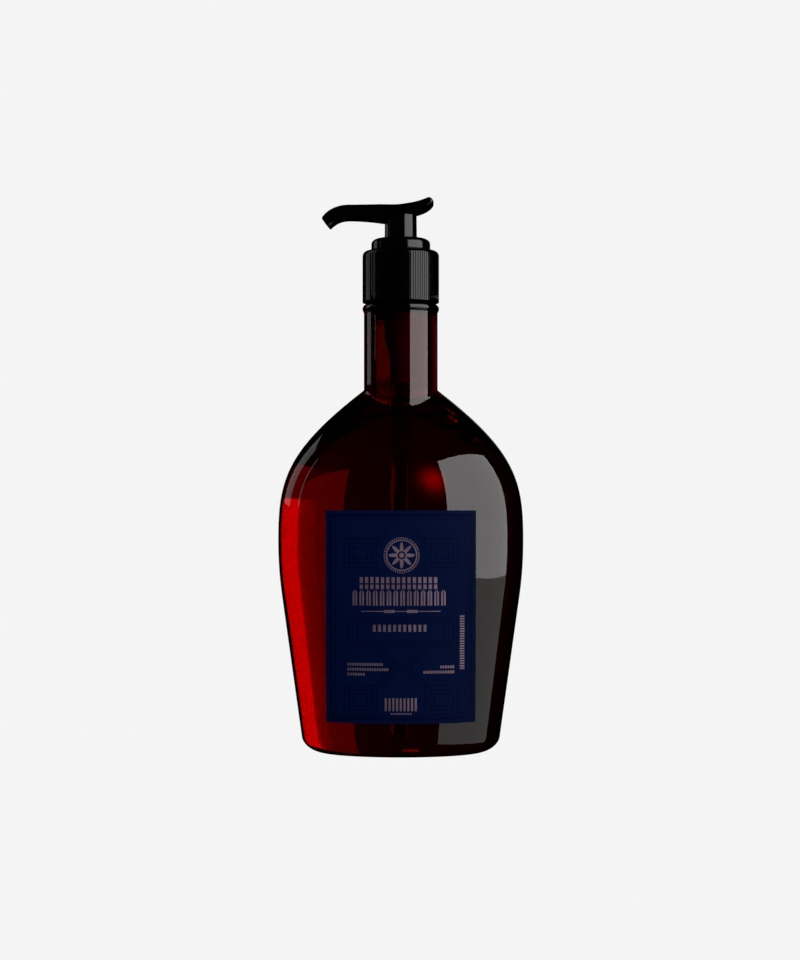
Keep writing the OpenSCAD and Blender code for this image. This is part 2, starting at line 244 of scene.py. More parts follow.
def clearTint(name, look):
    # see-through tint: a long soft drift of colour from blowing, and deeper colours that fade in between
    # two heights where the wall is thick; haze, where there is any, breaks the gloss and ripples the face
    material, surface, at = shader(name, Transmission_Weight=1.0, IOR=look["ior"],
                                   Roughness=look["roughness"])
    ripple = at.noise(look["ripple"], 2, 0.4)
    tint = ripple.blend(colour(*look["deep"]), colour(*look["light"]))
    for low, high, deeper in look.get("bands", ()):
        share = at.add("MapRange", {"interpolation_type": "SMOOTHSTEP"},
                       {0: at.part("Z"), 1: low * mm, 2: high * mm})
        tint = share.blend(tint, colour(*deeper))
    feed(surface, Base_Color=tint)
    if "haze" in look:
        feed(surface,
             Roughness=at.noise(look["haze"], 4, 0.6) * look["hazeDepth"] + look["roughness"],
             Normal=at.bump(look["bump"], 0.0002, ripple))
    return material


def mouldedPlastic(name, look):
    # moulded plastic: colour drifts slightly, gloss is broken by grain and fine handling marks
    material, surface, at = shader(name, IOR=look["ior"])
    drift = at.noise(90, 3)
    grain = at.noise(look["grain"], 2, 0.6)
    marks = at.noise(700, 3, 0.7, (1, 1, 0.08))
    feed(surface,
         Base_Color=drift.blend(colour(*look["deep"]), colour(*look["light"])),
         Roughness=grain * look["grainDepth"] + marks * look["markDepth"] + look["roughness"],
         Normal=at.bump(look["bump"], 0.00005, grain))
    return material


def brightSteel(name):
    # polished stainless steel with drawing marks that run round the wire
    material, surface, at = shader(name, Metallic=1.0)
    marks = at.noise(3000, 3, 0.6, (0.2, 0.2, 1))
    feed(surface,
         Base_Color=marks.blend(colour(0.55, 0.55, 0.56), colour(0.68, 0.67, 0.66)),
         Roughness=marks * 0.15 + 0.18,
         Normal=at.bump(0.2, 0.00002, marks))
    return material


redPlastic = clearTint("redPlastic", {
    "ior": 1.55, "deep": (0.56, 0.012, 0.012), "light": (0.62, 0.016, 0.016), "ripple": 25,
    "bands": ((131, 139, (0.28, 0.002, 0.002)), (166.3, 167.0, (0.004, 0.001, 0.001))),
    "haze": 60, "hazeDepth": 0.03, "roughness": 0.005, "bump": 0.05})
# the wetted faces bend no light of their own, as the wall and the liquid bend it nearly alike
wettedPlastic = clearTint("wettedPlastic", {
    "ior": 1.0, "deep": (0.96, 0.9, 0.9), "light": (1.0, 0.94, 0.94), "ripple": 25, "roughness": 0.0})
liquidLook = {"deep": (0.58, 0.03, 0.03), "light": (0.62, 0.035, 0.035), "ripple": 12, "roughness": 0.0}
redLiquid = clearTint("redLiquid", {**liquidLook, "ior": 1.0})
liquidTop = clearTint("liquidTop", {**liquidLook, "ior": 1.36})
clearTube = clearTint("clearTube", {
    "ior": 1.07, "deep": (0.86, 0.86, 0.85), "light": (0.92, 0.92, 0.91),
    "ripple": 40, "haze": 400, "hazeDepth": 0.1, "roughness": 0.08, "bump": 0.1})
housingPlastic = mouldedPlastic("housingPlastic", {
    "ior": 1.49, "deep": (0.26, 0.27, 0.27), "light": (0.34, 0.35, 0.35),
    "grain": 2500, "grainDepth": 0.12, "markDepth": 0.1, "roughness": 0.34, "bump": 0.15})
blackPlastic = mouldedPlastic("blackPlastic", {
    "ior": 1.5, "deep": (0.0012, 0.0012, 0.0013), "light": (0.002, 0.002, 0.0021),
    "grain": 4500, "grainDepth": 0.04, "markDepth": 0.05, "roughness": 0.06, "bump": 0.08})
naturalPlastic = mouldedPlastic("naturalPlastic", {
    "ior": 1.49, "deep": (0.68, 0.69, 0.67), "light": (0.78, 0.79, 0.77),
    "grain": 2500, "grainDepth": 0.12, "markDepth": 0.1, "roughness": 0.34, "bump": 0.15})
whitePlastic = mouldedPlastic("whitePlastic", {
    "ior": 1.51, "deep": (0.80, 0.80, 0.79), "light": (0.88, 0.88, 0.87),
    "grain": 2000, "grainDepth": 0.1, "markDepth": 0.1, "roughness": 0.4, "bump": 0.1})
sealFoam = mouldedPlastic("sealFoam", {
    "ior": 1.4, "deep": (0.6, 0.6, 0.58), "light": (0.8, 0.8, 0.78),
    "grain": 6000, "grainDepth": 0.1, "markDepth": 0.1, "roughness": 0.75, "bump": 0.6})
steel = brightSteel("steel")
print("plain materials made")


bottleHigh = boxOf("bottle")[1]
closureLow, closureHigh = boxOf("closure")
fillTop = boxOf("aftershave_fill")[1][2]
bottleShape = {
    "halfWidth": bottleHigh[0], "depthRatio": bottleHigh[1] / bottleHigh[0],
    "finishTop": bottleHigh[2], "beadZ": closureLow[2] - 3.6, "beadR": closureHigh[0],
    "neckR": 14.0, "finishR": 10.84, "boreR": 9.2,
    "widestZ": 80.5, "shoulderZ": 137.2, "taperZ": 59.0, "taperSlope": 0.141, "taperIn": 1.5, "heelZ": 6.0,
    # how far each curve keeps its first direction, and how far its last
    "heelPull": (4.6, 3.3), "flankPull": (7, 8), "shoulderPull": (22, 23.2), "shoulderIn": 2.4,
    "standShare": 0.306, "standFlat": 1.4, "standWidth": 3.5, "basePull": (2.6, 1.4), "baseRise": 3.0,
    "wall": 1.0, "baseWall": 1.4, "neckWall": 1.1, "fillet": 0.9, "columns": 180,
}


def bodySide(shape):
    # half-width against height from the standing ring up to the neck: heel, taper, flank, shoulder
    s, w = shape, shape["halfWidth"]
    heelZ, taperZ, widestZ, shoulderZ = s["heelZ"], s["taperZ"], s["widestZ"], s["shoulderZ"]

    def taper(z):
        return (w - s["taperIn"] - s["taperSlope"] * (taperZ - z), z)

    stand = 2 * w * s["standShare"]
    heelStart, heelEnd = s["heelPull"]
    flankStart, flankEnd = s["flankPull"]
    shoulderStart, shoulderEnd = s["shoulderPull"]
    heel = bezier([(stand, 0), (stand + heelStart, 0), taper(heelZ - heelEnd), taper(heelZ)], 20)
    side = line(taper(heelZ), taper(taperZ), 10)
    flank = bezier([taper(taperZ), taper(taperZ + flankStart), (w, widestZ - flankEnd), (w, widestZ)], 14)
    shoulder = bezier([(w, widestZ), (w, widestZ + shoulderStart),
                       (w - s["shoulderIn"], shoulderZ - shoulderEnd), (s["neckR"], shoulderZ)], 150)
    return join(heel, side, flank, shoulder)


def inset(path, depth):
    # each point moved square to the path, to its left for a path that runs up the outside
    along = np.gradient(path, axis=0)
    along /= np.linalg.norm(along, axis=1)[:, None]
    return path + depth * np.stack([-along[:, 1], along[:, 0]], axis=1)


def ovalRows(side, rise, neckR, shape):
    # body rows from the pole under the base up to the neck, as (half-width, height, neck radius); the last
    # rows draw in below the neck's radius, so they lie on the neck itself
    edge = side[0]
    flat = edge - np.array([shape["standFlat"], 0])
    width, (pullIn, pullOut) = shape["standWidth"], shape["basePull"]
    centre = bezier([(0, rise), flat - np.array([width + pullIn, edge[1] - rise]),
                     flat - np.array([width - pullOut, 0]), flat], 24)
    above = side[-1] + np.linspace(0.2, 3, 15)[:, None] * np.array([-1.3, 1.0])
    path = np.vstack([join(centre, line(flat, edge), side), above])
    neck = np.where(path[:, 1] > shape["widestZ"], neckR, 0.0)
    return np.column_stack([path, neck])


def ovalSkin(rows, ratio, fillet, columns):
    # r(u) = softMax(ellipse radius, neck radius), with softMax rounding the corner over a fillet
    u = np.linspace(0, 2 * np.pi, columns, endpoint=False)
    a, z, neck = rows[:, 0, None], rows[:, 1, None], rows[:, 2, None]
    oval = a * ratio / np.sqrt((ratio * np.cos(u)) ** 2 + np.sin(u) ** 2)
    h = np.clip(0.5 + 0.5 * (oval - neck) / fillet, 0, 1)
    r = np.where(neck > 0, neck * (1 - h) + oval * h + fillet / 2 * h * (1 - h), oval)
    return np.stack([r * np.cos(u), r * np.sin(u), z + 0 * u], axis=-1)


def buildBottle(shape):
    # one closed shell: up the outside from the base, over the lip, and down the inside
    s = shape
    cols = s["columns"]
    outSide = bodySide(s)
    outer = ovalSkin(ovalRows(outSide, s["baseRise"], s["neckR"], s), s["depthRatio"], s["fillet"], cols)
    innerRatio = (s["halfWidth"] * s["depthRatio"] - s["wall"]) / (s["halfWidth"] - s["wall"])
    cavityR = s["neckR"] - s["neckWall"]
    inner = ovalSkin(ovalRows(inset(outSide, s["wall"]), s["baseRise"] + s["baseWall"], cavityR, s),
                     innerRatio, s["fillet"], cols)
    bead, top, r = s["beadZ"], s["finishTop"], s["beadR"]
    neckR, finishR, boreR = s["neckR"], s["finishR"], s["boreR"]
    neckUp = join(line((neckR, s["shoulderZ"] + 3.4), (neckR, bead - 0.5), 6),
                  bezier([(neckR, bead - 0.5), (neckR, bead + 0.1),
                          (r - 0.2, bead + 0.1), (r, bead + 1.1)], 8),
                  bezier([(r, bead + 1.1), (r + 0.01, bead + 1.9),
                          (r - 0.15, bead + 2.3), (r - 0.9, bead + 2.8)], 8),
                  line((r - 0.9, bead + 2.8), (finishR + 0.3, bead + 2.9), 2),
                  line((finishR, bead + 3.2), (finishR, top - 0.4), 4),
                  bezier([(finishR, top - 0.4), (finishR, top),
                          (finishR - 0.3, top), (finishR - 0.6, top)], 5),
                  line((finishR - 0.6, top), (boreR + 0.3, top), 2))
    neckDown = join(bezier([(boreR + 0.3, top), (boreR, top), (boreR, top - 0.2), (boreR, top - 0.5)], 4),
                    line((boreR, top - 0.5), (boreR, bead + 1.6), 4),
                    bezier([(boreR, bead + 1.6), (boreR, bead + 0.2),
                            (cavityR, bead + 0.2), (cavityR, bead - 1.2)], 12),
                    line((cavityR, bead - 1.2), (cavityR, s["shoulderZ"] + 3.2), 5))
    grid = np.concatenate([outer, turned(neckUp, cols), turned(neckDown[1:], cols), inner[::-1]])
    obj = skin("bottleShell", grid)
    wetRow = len(grid) - np.argmax(inner[:, 0, 2] > fillTop)
    secondFinish(obj, cols, wetRow, len(grid) - 1)
    return obj


def buildThread(shape):
    # ridge on a right-hand helix, faded at both ends: (r(v) cos u, r(v) sin u, z0 + pitch u / 2 pi + h(v))
    look = {"turns": 1.5, "pitch": 3.175, "root": 10.6, "crest": 11.94, "rootHalf": 1.0,
            "crestHalf": 0.42, "below": 2.1, "sunk": 0.2, "fadeShare": 1 / 12, "steps": 160}
    t = np.linspace(0, 1, look["steps"])[:, None]
    v = np.linspace(0, 2 * np.pi, 24, endpoint=False)[None, :]
    u = 2 * np.pi * look["turns"] * t
    fade = np.clip(np.minimum(t, 1 - t) / look["fadeShare"], 0.02, 1)
    up = np.sign(np.sin(v)) * np.abs(np.sin(v)) ** 0.6
    out = np.sign(np.cos(v)) * np.abs(np.cos(v)) ** 0.6
    half = look["crestHalf"] + (look["rootHalf"] - look["crestHalf"]) * (0.5 - 0.5 * out)
    mid, depth = (look["root"] + look["crest"]) / 2, (look["crest"] - look["root"]) / 2
    base = look["root"] - look["sunk"]
    r = base + (mid + depth * out - base) * fade
    start = shape["finishTop"] - look["below"] - look["turns"] * look["pitch"]
    z = start + look["pitch"] * u / (2 * np.pi)
    grid = np.stack([r * np.cos(u), r * np.sin(u), z + up * half * (0.3 + 0.7 * fade)], axis=-1)
    return skin("bottleThread", capped(grid[::-1]), sharp=50)


def buildLiquid(shape):
    # the inside of the body with its skin sunk a little into the wall, so no air film shows, closed by a
    # level surface that climbs the wall and the tube in a small meniscus, with a bore for the tube
    tubeLow, tubeHigh = boxOf("dip_tube")
    look = {"sink": 0.15, "climb": 0.5, "bore": tubeHigh[0] + 0.1, "under": 1.0, "reach": 40}
    s, depth = shape, shape["wall"] - look["sink"]
    ratio = (s["halfWidth"] * s["depthRatio"] - depth) / (s["halfWidth"] - depth)
    rows = ovalRows(inset(bodySide(s), depth), s["baseRise"] + s["baseWall"] - look["sink"],
                    s["neckR"] - s["neckWall"] + look["sink"], s)
    columns = s["columns"]
    edge, foot = fillTop + look["climb"], tubeLow[2] - look["under"]
    wet = ovalSkin(rows[rows[:, 1] < edge], ratio, s["fillet"], columns)
    bore = turned(np.array([(look["bore"], edge), (look["bore"], fillTop - 20),
                            (look["bore"], foot), (0, foot)]), columns)
    share = np.array([0.02, 0.05, 0.12, 0.25, 0.5, 0.75, 0.88, 0.95, 0.98])[:, None, None]
    top = wet[-1] * (1 - share) + bore[0] * share
    meniscus = np.exp(-share[..., 0] * look["reach"]) + np.exp((share[..., 0] - 1) * look["reach"])
    top[..., 2] = fillTop + look["climb"] * meniscus
    obj = skin("liquid", np.concatenate([wet, top, bore]))
    secondFinish(obj, columns, len(wet) - 1, len(wet) + len(top))
    return obj


def secondFinish(obj, columns, first, last):
    # the bands of a skin from first up to, but not with, last take its second material
    index = np.zeros(len(obj.data.polygons), np.int32)
    index[first * columns:last * columns] = 1
    obj.data.polygons.foreach_set("material_index", index)


place(buildBottle(bottleShape), "bottle", "red_pet", [redPlastic, wettedPlastic], "bottle")
place(buildThread(bottleShape), "bottle", "red_pet", redPlastic)
place(buildLiquid(bottleShape), "bottle", "liquid", [redLiquid, liquidTop], "aftershave_fill")
print("bottle and liquid made")


def labelLook(node):
    # the film lies on the wall, inside the space of its node
    low, high = boxOf(node)
    return {
        "halfWidth": high[0], "low": low[2], "high": high[2], "lift": 0.03, "thickness": 0.12,
        "columns": 72, "rows": 96, "navy": (0.0012, 0.0145, 0.105), "deep": (0.0006, 0.0082, 0.066),
        "copper": (0.50, 0.36, 0.43), "copperDark": (0.20, 0.13, 0.20),
    }


def labelSlab(name, look, shape, facing):
    # two sheets joined round their edges: y = facing * (k sqrt(a(z)^2 - x^2) + offset * n(x, z)), where n
    # turns an offset square to the wall into one along Y
    side = bodySide(shape)
    z = np.linspace(look["low"], look["high"], look["rows"])[:, None]
    x = np.linspace(-1, 1, look["columns"])[None, :] * look["halfWidth"]
    a = np.interp(z, side[:, 1], side[:, 0])
    tangent = np.interp(z, side[:, 1], np.gradient(side[:, 0], side[:, 1]))
    depth = shape["depthRatio"] * np.sqrt(a ** 2 - x ** 2)
    slopeX = -shape["depthRatio"] ** 2 * x / depth
    slopeZ = shape["depthRatio"] ** 2 * a * tangent / depth
    size = np.sqrt(1 + slopeX ** 2 + slopeZ ** 2)

    def sheet(offset):
        y = depth + offset * size
        return np.stack([x + 0 * y, facing * y, z + 0 * y], axis=-1)

    back, front = sheet(look["lift"]), sheet(look["lift"] + look["thickness"])
    rows, cols = back.shape[:2]
    index = np.arange(rows * cols).reshape(rows, cols)
    quads = np.stack([index[:-1, :-1], index[:-1, 1:], index[1:, 1:], index[1:, :-1]], axis=-1)
    quads = quads.reshape(-1, 4)
    edge = np.concatenate([index[0, :-1], index[:-1, -1], index[-1, :0:-1], index[:0:-1, 0]])
    after = np.roll(edge, -1)
    count = rows * cols
    wall = np.stack([edge + count, edge, after, after + count], axis=-1)
    faces = [quads + count if facing < 0 else quads[:, ::-1] + count,
             quads[:, ::-1] if facing < 0 else quads,
             wall[:, ::-1] if facing < 0 else wall]
    return buildMesh(name, np.concatenate([back.reshape(-1, 3), front.reshape(-1, 3)]), faces, sharp=50)


def rect(x, z, cx, cz, halfX, halfZ):
    # 1 inside an upright rectangle
    return (abs(x - cx) < halfX) & (abs(z - cz) < halfZ)


def outline(x, z, cx, cz, halfX, halfZ, width):
    # 1 on a line drawn just inside a rectangle
    return rect(x, z, cx, cz, halfX, halfZ) - rect(x, z, cx, cz, halfX - width, halfZ - width)


def slats(x, z, cx, cz, halfX, halfZ, count, filled):
    # a row of upright slats, each filling its share of a pitch; x and z swapped make a column of bars
    pitch = 2 * halfX / count
    return rect(x, z, cx, cz, halfX, halfZ) & (((x - (cx - halfX)) % pitch) < pitch * filled)


def tonePattern(x, z, look):
    # tone-on-tone ornament: border lines, nested squares in the corners, crossing diagonals, a panel
    mid = (look["low"] + look["high"]) / 2
    halfX, halfZ = look["halfWidth"], (look["high"] - look["low"]) / 2
    u = abs(x)
    marks = outline(x, z, 0, mid, halfX - 1.2, halfZ - 1.2, 1.3)
    marks = marks | outline(x, z, 0, mid, halfX - 3.4, halfZ - 3.2, 0.4)
    for cz in (look["high"] - 15.6, look["low"] + 8.7):
        for k in range(3):
            marks = marks | outline(u, z, 14.9, cz, 6.2 - 1.7 * k, 5.6 - 1.6 * k, 0.55)
    crossZ, lozengeZ = look["low"] + 20.8, look["high"] - 17.5
    for k in range(3):
        spread = abs(abs(z - crossZ) - u + 1.6 * k)
        marks = marks | ((spread < 0.35) & rect(x, z, 0, crossZ, 9.0, 7.2))
    for k in range(2):
        away = abs(z - lozengeZ)
        ring = abs(u + away * 0.8 - 12.6 - 1.5 * k)
        marks = marks | ((ring < 0.3) & (away < 13) & (u < 9.5))
    for k in range(3):
        marks = marks | outline(x, z, 0, look["low"] + 33.8, 16.2 + 1.6 * k, 3.5 + 0.9 * k, 0.4)
    return marks


def frontPrint(x, z, look):
    # foil print: a rosette, two slatted bands, a fine rule, a short band, small bars, a side band
    high, low = look["high"], look["low"]
    ex, ez = x - 0.3, z - (high - 16.4)
    r = ex.calc("SQRT", ex * ex + ez * ez)
    turn = ex.calc("ARCTAN2", ez, ex)
    star = r < 3.3 + ex.calc("COSINE", turn * 8) * 1.5
    foil = (star & (r > 1.5)) | (r < 0.9)
    beads = (abs(r - 6.3) < 0.3) & ((turn * (48 / (2 * math.pi)) % 1) < 0.5)
    foil = foil | (abs(r - 5.5) < 0.22) | beads
    inlay = abs(z - (high - 26.9)) < 0.25
    foil = foil | (slats(x, z, -0.5, high - 26.6, 14.6, 2.2, 15, 0.62) & (1 - inlay))
    lift = abs((x + 17.7) % 2.5 - 0.85)
    arch = slats(x, z, -0.2, high - 31.9, 17.5, 3.0, 14, 0.68) & (z - (high - 30.1) + lift * 1.6 < 1.4)
    foil = foil | (arch & (1 - (abs(lift) < 0.18)))
    foil = foil | rect(x, z, 0, high - 37.0, 14.6, 0.16) | rect(abs(x), z, 4.2, high - 37.0, 1.9, 0.55)
    foil = foil | slats(x, z, 0, low + 35.3, 10.2, 1.3, 11, 0.55)
    for k, (cx, half) in enumerate(((-13.0, 6.7), (-12.0, 7.7), (-16.3, 3.4))):
        foil = foil | slats(x, z, cx, low + 21.9 - 1.85 * k, half, 0.52, round(half * 2.2), 0.7)
    for k, (cx, half) in enumerate(((17.2, 2.7), (14.1, 5.8))):
        foil = foil | slats(x, z, cx, low + 20.9 - 1.85 * k, half, 0.52, round(half * 2.2), 0.7)
    foil = foil | slats(z, x, low + 30.1, 22.6, 10.1, 0.85, 22, 0.6)
    foil = foil | slats(x, z, 0.3, low + 7.1, 6.2, 2.4, 9, 0.55)
    return foil | slats(x, z, 0.3, low + 3.7, 4.0, 0.3, 8, 0.6)


def backPrint(x, z, look):
    # plain bars set as paragraphs, over a frame for a block of stripes
    high, low = look["high"], look["low"]
    foil = rect(x, z, 0, high - 9, 13, 0.9) | rect(x, z, 0, high - 12.2, 9, 0.4)
    lines = slats(z, x, high - 31, 0, 14.5, 20.5, 14, 0.42) & (1 - rect(x, z, 17, high - 30, 6, 1.6))
    foil = foil | lines | slats(z, x, low + 22.5, -8, 7.5, 12.5, 7, 0.4)
    foil = foil | outline(x, z, 13.5, low + 22.5, 6.5, 7.0, 0.5)
    foil = foil | slats(x, z, 13.5, low + 22.5, 5.4, 5.6, 17, 0.5)
    return foil | rect(x, z, 0, low + 9, 20.5, 0.25)


def labelFilm(name, look, printed):
    # navy film: darker pattern sunk in the same ink, foil print a hair proud, satin varnish with fine grain
    material, surface, at = shader(name, IOR=1.5, Specular_IOR_Level=0.03)
    x, z = at.part("X") * 1000, at.part("Z") * 1000
    tone, foil = tonePattern(x, z, look), printed(x, z, look)
    fibre, wear = at.noise(5200, 3, 0.6), at.noise(150, 4, 0.6)
    ink = tone.blend(colour(*look["navy"]), colour(*look["deep"]))
    metal = wear.blend(colour(*look["copperDark"]), colour(*look["copper"]))
    feed(surface,
         Base_Color=foil.blend(ink, metal),
         Metallic=foil * 0.35,
         Roughness=0.5 + wear * 0.12 + fibre * 0.08 - tone * 0.06 - foil * 0.08,
         Normal=at.bump(0.25, 0.00004, foil + fibre * 0.25 - tone * 0.4))
    return material


frontLook, backLook = labelLook("front_label"), labelLook("back_label")
place(labelSlab("frontLabel", frontLook, bottleShape, -1), "bottle", "label_film",
      labelFilm("frontFilm", frontLook, frontPrint), "front_label")
place(labelSlab("backLabel", backLook, bottleShape, 1), "bottle", "label_film",
      labelFilm("backFilm", backLook, backPrint), "back_label")
print("labels made")


closureShape = {
    "r": closureHigh[0], "low": closureLow[2], "high": closureHigh[2], "inner": 12.25, "hole": 9.1,
    "plate": 1.4, "ribs": 96, "fluteDepth": 0.38, "fluteHalf": 0.19, "corner": (2.6, 2.2),
    "fluteLow": (0.5, 0.1), "fluteHigh": (0.4, 0.15),  # where the flutes run out, and over what height
    "columnsAt": (-0.33, -0.19, 0, 0.19, 0.33, 0.5),   # columns of one rib, in pitches
}


def buildClosure(look):
    # r(u, z) = wall - depth * flute(u) * reach(z): flat lands between steep V flutes, where flute falls
    # evenly from 1 on the centre line to 0 at the edge of a land
    r, low, high = look["r"], look["low"], look["high"]
    across, down = look["corner"]
    inner, hole, under = look["inner"], look["hole"], look["high"] - look["plate"]
    outside = join(line((inner + 0.3, low), (r - 0.45, low), 2),
                   bezier([(r - 0.45, low), (r - 0.1, low), (r, low + 0.15), (r, low + 0.5)], 4),
                   line((r, low + 0.5), (r, low + 0.6), 1),
                   line((r, low + 0.6), (r, high - down), 8),
                   bezier([(r, high - down), (r, high - 0.8), (r - 0.9, high), (r - across, high)], 12),
                   line((r - across, high), (hole + 0.3, high), 3))
    inside = join(bezier([(hole + 0.3, high), (hole, high), (hole, high - 0.1), (hole, high - 0.3)], 3),
                  line((hole, high - 0.3), (hole, under), 1),
                  line((hole, under), (inner - 0.3, under), 2),
                  line((inner - 0.3, under), (inner, under - 0.3), 1),
                  line((inner, under - 0.3), (inner, low + 0.3), 8),
                  line((inner, low + 0.3), (inner + 0.3, low), 1))
    profile = np.vstack([outside, inside[1:-1]])
    offsets = np.array(look["columnsAt"])
    u = ((np.arange(look["ribs"])[:, None] + offsets) * 2 * np.pi / look["ribs"]).ravel()
    flute = np.tile(np.clip(1 - np.abs(offsets) / look["fluteHalf"], 0, 1), look["ribs"])
    radius, z = profile[:, 0, None], profile[:, 1, None]
    (lowGap, lowRamp), (highGap, highRamp) = look["fluteLow"], look["fluteHigh"]
    reach = np.clip((z - low - lowGap) / lowRamp, 0, 1) * np.clip((high - highGap - z) / highRamp, 0, 1)
    reach = reach * (radius > r - 1.5)   # none on the inside
    radius = radius - look["fluteDepth"] * flute * reach
    grid = np.stack([radius * np.cos(u), radius * np.sin(u), z + 0 * u], axis=-1)
    return skin("ribbedClosure", grid, loopRows=True, sharp=60)


chapletLow, chapletHigh = boxOf("chaplet")
chapletShape = {"r": chapletHigh[0], "top": chapletHigh[2], "low": closureHigh[2] + 0.2, "well": 6.35,
                "corner": (2.8, 2.1), "foot": chapletLow[2], "stemHole": 2.7, "guide": 3.9, "seat": 9.0}


def buildChaplet(look):
    # one ring turned from a closed outline: domed crown, well for the skirt, floor and stem guide
    r, top, low, well = look["r"], look["top"], look["low"], look["well"]
    across, down = look["corner"]
    foot, hole, guide, seat = look["foot"], look["stemHole"], look["guide"], look["seat"]
    floor, outer = foot + 3.2, well + 1.1
    crown = join(line((seat, low), (r - 0.25, low), 2),
                 bezier([(r - 0.25, low), (r, low), (r, low + 0.1), (r, low + 0.3)], 3),
                 line((r, low + 0.3), (r, top - down - 0.1), 3),
                 bezier([(r, top - down - 0.1), (r, top - 1.0),
                         (r - 1.1, top - 0.15), (r - across, top - 0.1)], 12),
                 line((r - across, top - 0.1), (well + 0.4, top), 4),
                 bezier([(well + 0.4, top), (well + 0.1, top), (well, top - 0.1), (well, top - 0.4)], 4))
    bowl = join(line((well, top - 0.4), (well, floor + 0.3), 6),
                bezier([(well, floor + 0.3), (well, floor + 0.1),
                        (well - 0.1, floor), (well - 0.3, floor)], 3),
                line((well - 0.3, floor), (guide, floor), 2), line((guide, floor), (guide, floor + 2), 2),
                line((guide, floor + 2), (hole, floor + 2), 1), line((hole, floor + 2), (hole, foot), 3),
                line((hole, foot), (guide, foot), 1), line((guide, foot), (guide, floor - 1.2), 2),
                line((guide, floor - 1.2), (outer, floor - 1.2), 2),
                line((outer, floor - 1.2), (outer, low + 2.5), 4),
                line((outer, low + 2.5), (seat, low + 2.5), 2), line((seat, low + 2.5), (seat, low), 2))
    return skin("chapletRing", turned(np.vstack([crown, bowl[1:-1]]), 192), loopRows=True, sharp=40)


place(buildClosure(closureShape), "closure", "black_ribbed", blackPlastic, "closure")
place(buildChaplet(chapletShape), "pump_core", "black_plastic", blackPlastic, "chaplet")
print("closure and chaplet made")


headLow, headHigh = boxOf("actuator")
headShape = {
    "reach": -headLow[0], "crest": headHigh[2], "spoutTop": headHigh[2] - 2.9,
    "spoutHalf": 3.1, "restHalf": 6.5, "tipRound": 0.35, "tipSteps": 5, "endRound": 1.25, "endSteps": 12,
    "skirtLow": headLow[2], "skirtR": 6.15, "neckR": 6.02, "skirtWall": 1.15, "bossR": 3.9,
    "stemR": 2.63, "stemTop": headHigh[2] - 8.75, "duct": 1.5, "columns": 96, "dish": 0.9,
}


def headLoft(look):
    # P(s, v) = middle(s) + half(s) V(v) + w(s) Y(v) between an upper and a lower edge, with
    # Y = cos^p, V = sin^p, a dished top towards the back, and both ends rounded off
    top, reach = look["spoutTop"], -look["reach"]
    upper = join(bezier([(reach + 0.15, top - 4.75), (reach + 1.6, top - 2.5), (reach + 4.9, top - 0.12),
                         (reach + 10.1, top)], 40),
                 bezier([(reach + 10.1, top), (-6, top + 0.05),
                         (2, top + 0.15), (9.6, look["crest"] - 0.75)], 70))
    lower = join(bezier([(reach + 3.6, top - 9.3), (reach + 5.5, top - 7.6), (reach + 7.1, top - 6.3),
                         (reach + 11.1, top - 6.3)], 40),
                 bezier([(reach + 11.1, top - 6.3), (-14, top - 6.3),
                         (-9, top - 6.9), (-5.5, top - 7.4)], 25),
                 bezier([(-5.5, top - 7.4), (-1.5, top - 8.0), (2.0, top - 5.0), (5.8, top - 4.1)], 30),
                 bezier([(5.8, top - 4.1), (8.4, top - 3.5), (11.0, top - 2.3), (12.1, top - 0.7)], 15))
    s = np.linspace(0, 1, len(upper))
    width = look["spoutHalf"] + (look["restHalf"] - look["spoutHalf"]) * np.clip(s / 0.8, 0, 1) ** 2.4
    power = 0.86 - 0.2 * np.clip(s / 0.9, 0, 1) ** 2
    rise, fall = np.clip((s - 0.55) / 0.25, 0, 1), np.clip((1 - s) / 0.14, 0, 1)
    dish = look["dish"] * rise ** 2 * (3 - 2 * rise) * fall ** 2 * (3 - 2 * fall)
    middle, half = (upper + lower) / 2, (upper - lower) / 2

    def cap(k, radius, steps, outward):
        # the end section pushed out by R sin(f) while it shrinks by R (1 - cos(f))
        f = np.linspace(0, np.pi / 2, steps + 1)[1:, None]
        size = np.linalg.norm(half[k])
        shrink = 1 - radius * (1 - np.cos(f)) / size
        narrow = 1 - radius * (1 - np.cos(f[:, 0])) / width[k]
        return middle[k] + outward * radius * np.sin(f), half[k] * shrink, width[k] * narrow

    def square(k, sign):
        across = np.array([half[k][1], -half[k][0]])
        return sign * across / np.linalg.norm(across)

    added = (look["tipSteps"], look["endSteps"])
    tipMid, tipHalf, tipWidth = cap(0, look["tipRound"], added[0], square(0, -1))
    endMid, endHalf, endWidth = cap(-1, look["endRound"], added[1], square(-1, 1))
    middle = np.vstack([tipMid[::-1], middle, endMid])
    half = np.vstack([tipHalf[::-1], half, endHalf])
    width = np.concatenate([tipWidth[::-1], width, endWidth])
    power = np.pad(power, added, mode="edge")
    dish = np.pad(dish, added)
    v = np.linspace(0, 2 * np.pi, look["columns"], endpoint=False)[None, :]
    y = np.sign(np.cos(v)) * np.abs(np.cos(v)) ** power[:, None]
    lift = np.sign(np.sin(v)) * np.abs(np.sin(v)) ** power[:, None]
    hollow = dish[:, None] * (1 - y ** 2) ** 1.5 * (np.sin(v) > 0)
    x = middle[:, None, 0] + half[:, None, 0] * lift
    z = middle[:, None, 1] + half[:, None, 1] * lift - hollow
    return capped(np.stack([x, width[:, None] * y, z], axis=-1))


